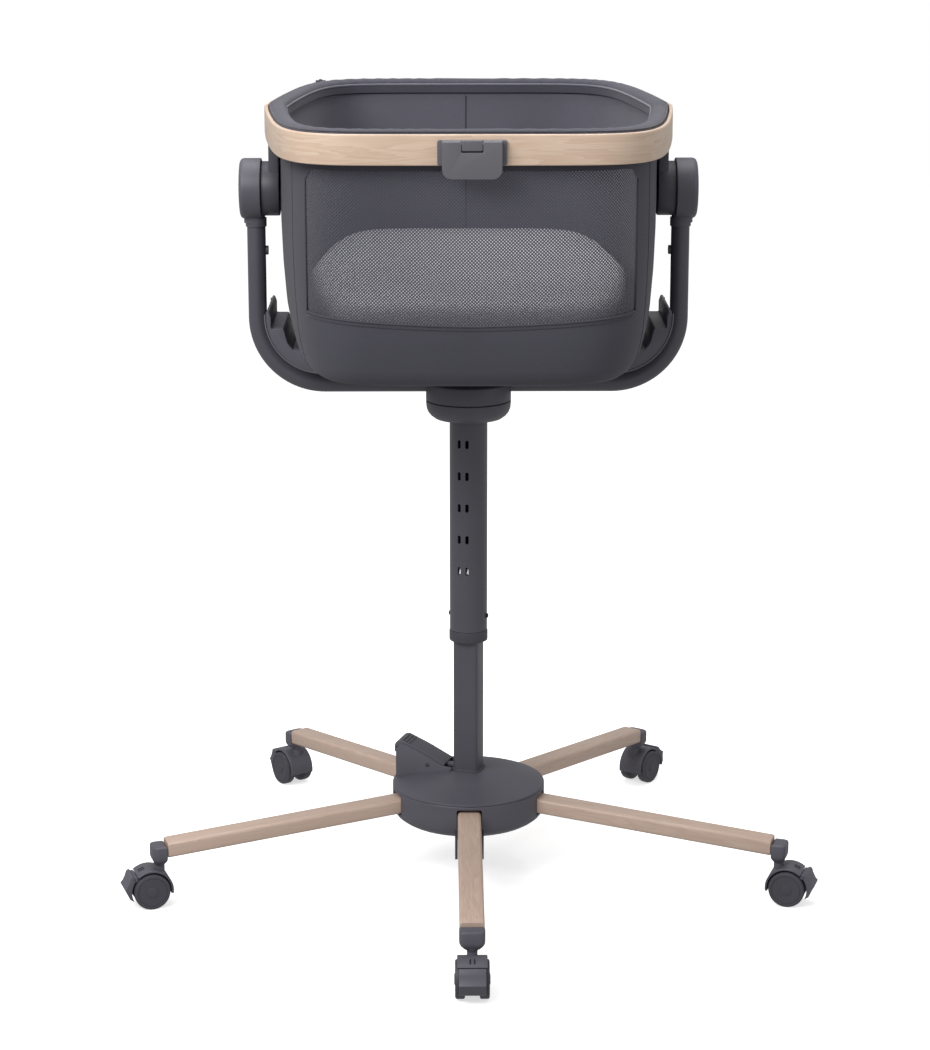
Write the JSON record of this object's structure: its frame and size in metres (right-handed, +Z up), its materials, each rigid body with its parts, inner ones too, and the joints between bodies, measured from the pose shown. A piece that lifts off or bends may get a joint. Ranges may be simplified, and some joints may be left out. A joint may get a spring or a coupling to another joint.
{
  "type": "bassinet on stand",
  "caption": "Oval fabric bassinet with a mesh end window and padded rim, tilting in a U-fork on a height-adjustable swivel column with a pedal and a star base on braked casters.",
  "frame": {"origin": "on the floor, at the centre of the footprint", "axes": "+Z up, -Y towards the foot end with the mesh window and the front clip, +X to the right seen from the foot end"},
  "size_m": [0.9238, 0.8818, 1.042],
  "materials": {
    "plastic": "matte",
    "dark_plastic": "matte",
    "painted_steel": "satin",
    "bare_steel": "satin",
    "wood_print_steel": "satin",
    "wood_print_band": "satin",
    "cloth": "matte",
    "mesh_cloth": "matte",
    "mattress_cover": "matte",
    "clip_plastic": "matte"
  },
  "bodies": {
    "base": {"hub_housing": "plastic", "hub_cover": "plastic", "hub_spider": "painted_steel", "inner_mast": "painted_steel", "inner_mast_glide": "dark_plastic", "pedal_housing": "plastic", "pedal_pin": "dark_plastic", "leg_1": "wood_print_steel", "leg_2": "wood_print_steel", "leg_3": "wood_print_steel", "leg_4": "wood_print_steel", "leg_5": "wood_print_steel", "leg_cap_1": "plastic", "leg_cap_2": "plastic", "leg_cap_3": "plastic", "leg_cap_4": "plastic", "leg_cap_5": "plastic"},
    "pedal": {"foot_pedal": "plastic"},
    "pull_rod": {"pull_rod": "bare_steel"},
    "lock_bolt": {"lock_bolt": "bare_steel"},
    "mast": {"outer_mast": "painted_steel", "mast_bush": "plastic", "mast_rivet_right": "dark_plastic", "mast_rivet_left": "dark_plastic", "swivel_cup": "plastic", "swivel_pin": "bare_steel"},
    "fork": {"fork_tube": "painted_steel", "fork_saddle": "plastic", "pivot_hub_right": "plastic", "pivot_hub_left": "plastic"},
    "tub": {"pivot_ear_right": "plastic", "pivot_ear_left": "plastic", "tub_shell": "cloth", "mesh_window": "mesh_cloth", "rim_frame": "dark_plastic", "rim_band": "wood_print_band", "rim_pad": "cloth", "mattress": "mattress_cover", "mattress_tray": "dark_plastic", "cradle": "plastic", "clip_plate": "clip_plastic", "clip_pin": "bare_steel"},
    "clip_flap": {"clip_flap": "clip_plastic"},
    "caster_1": {"caster_hood_1": "plastic"},
    "wheels_1": {"caster_wheels_1": "dark_plastic"},
    "brake_1": {"brake_lever_1": "plastic"},
    "caster_2": {"caster_hood_2": "plastic"},
    "wheels_2": {"caster_wheels_2": "dark_plastic"},
    "brake_2": {"brake_lever_2": "plastic"},
    "caster_3": {"caster_hood_3": "plastic"},
    "wheels_3": {"caster_wheels_3": "dark_plastic"},
    "brake_3": {"brake_lever_3": "plastic"},
    "caster_4": {"caster_hood_4": "plastic"},
    "wheels_4": {"caster_wheels_4": "dark_plastic"},
    "brake_4": {"brake_lever_4": "plastic"},
    "caster_5": {"caster_hood_5": "plastic"},
    "wheels_5": {"caster_wheels_5": "dark_plastic"},
    "brake_5": {"brake_lever_5": "plastic"}
  },
  "joints": [
    {"name": "height_slide", "type": "slide", "parent": "base", "child": "mast", "axis": [0, 0, 1], "range_m": [-0.172, 0]},
    {"name": "fork_swivel", "type": "hinge", "parent": "mast", "child": "fork", "pos_m": [0, 0.0394, 0.65], "axis": [0, 0, 1], "continuous": true},
    {"name": "tub_tilt", "type": "hinge", "parent": "fork", "child": "tub", "pos_m": [0, 0.0394, 0.93], "axis": [1, 0, 0], "range_deg": [-12, 12]},
    {"name": "pedal_press", "type": "hinge", "parent": "base", "child": "pedal", "pos_m": [-0.04945, 0.05547, 0.148], "axis": [-0.309, -0.9511, 0], "range_deg": [0, 8], "stiffness_Nm_per_rad": 3, "springref_deg": -11.46},
    {"name": "rod_lift", "type": "slide", "parent": "base", "child": "pull_rod", "axis": [0, 0, 1], "range_m": [0, 0.0062]},
    {"name": "bolt_draw", "type": "slide", "parent": "base", "child": "lock_bolt", "axis": [0.309, 0.9511, 0], "range_m": [0, 0.0062]},
    {"name": "clip_turn", "type": "hinge", "parent": "tub", "child": "clip_flap", "pos_m": [0, -0.3674, 1.027], "axis": [-1, 0, 0], "range_deg": [0, 100]},
    {"name": "caster_swivel_1", "type": "hinge", "parent": "base", "child": "caster_1", "pos_m": [0, -0.3906, 0.065], "axis": [0, 0, 1], "continuous": true},
    {"name": "wheel_roll_1", "type": "hinge", "parent": "caster_1", "child": "wheels_1", "pos_m": [0, -0.4049, 0.02371], "axis": [1, 0, 0], "continuous": true},
    {"name": "brake_lift_1", "type": "hinge", "parent": "caster_1", "child": "brake_1", "pos_m": [0, -0.42534, 0.04211], "axis": [-1, 0, 0], "range_deg": [0, 25]},
    {"name": "caster_swivel_2", "type": "hinge", "parent": "base", "child": "caster_2", "pos_m": [0.40895, -0.09348, 0.065], "axis": [0, 0, 1], "continuous": true},
    {"name": "wheel_roll_2", "type": "hinge", "parent": "caster_2", "child": "wheels_2", "pos_m": [0.42255, -0.0979, 0.02371], "axis": [0.309, 0.9511, 0], "continuous": true},
    {"name": "brake_lift_2", "type": "hinge", "parent": "caster_2", "child": "brake_2", "pos_m": [0.44199, -0.10421, 0.04211], "axis": [-0.309, -0.9511, 0], "range_deg": [0, 25]},
    {"name": "caster_swivel_3", "type": "hinge", "parent": "base", "child": "caster_3", "pos_m": [0.25275, 0.38728, 0.065], "axis": [0, 0, 1], "continuous": true},
    {"name": "wheel_roll_3", "type": "hinge", "parent": "caster_3", "child": "wheels_3", "pos_m": [0.26115, 0.39885, 0.02371], "axis": [-0.809, 0.5878, 0], "continuous": true},
    {"name": "brake_lift_3", "type": "hinge", "parent": "caster_3", "child": "brake_3", "pos_m": [0.27316, 0.41538, 0.04211], "axis": [0.809, -0.5878, 0], "range_deg": [-25, 0]},
    {"name": "caster_swivel_4", "type": "hinge", "parent": "base", "child": "caster_4", "pos_m": [-0.25275, 0.38728, 0.065], "axis": [0, 0, 1], "continuous": true},
    {"name": "wheel_roll_4", "type": "hinge", "parent": "caster_4", "child": "wheels_4", "pos_m": [-0.26115, 0.39885, 0.02371], "axis": [-0.809, -0.5878, 0], "continuous": true},
    {"name": "brake_lift_4", "type": "hinge", "parent": "caster_4", "child": "brake_4", "pos_m": [-0.27316, 0.41538, 0.04211], "axis": [0.809, 0.5878, 0], "range_deg": [0, 25]},
    {"name": "caster_swivel_5", "type": "hinge", "parent": "base", "child": "caster_5", "pos_m": [-0.40895, -0.09348, 0.065], "axis": [0, 0, 1], "continuous": true},
    {"name": "wheel_roll_5", "type": "hinge", "parent": "caster_5", "child": "wheels_5", "pos_m": [-0.42255, -0.0979, 0.02371], "axis": [0.309, -0.9511, 0], "continuous": true},
    {"name": "brake_lift_5", "type": "hinge", "parent": "caster_5", "child": "brake_5", "pos_m": [-0.44199, -0.10421, 0.04211], "axis": [-0.309, 0.9511, 0], "range_deg": [0, 25]}
  ],
  "couplings": [
    {"joint": "rod_lift", "follows": "pedal_press", "m_per_rad": 0.0437},
    {"joint": "bolt_draw", "follows": "pedal_press", "m_per_rad": 0.043}
  ]
}
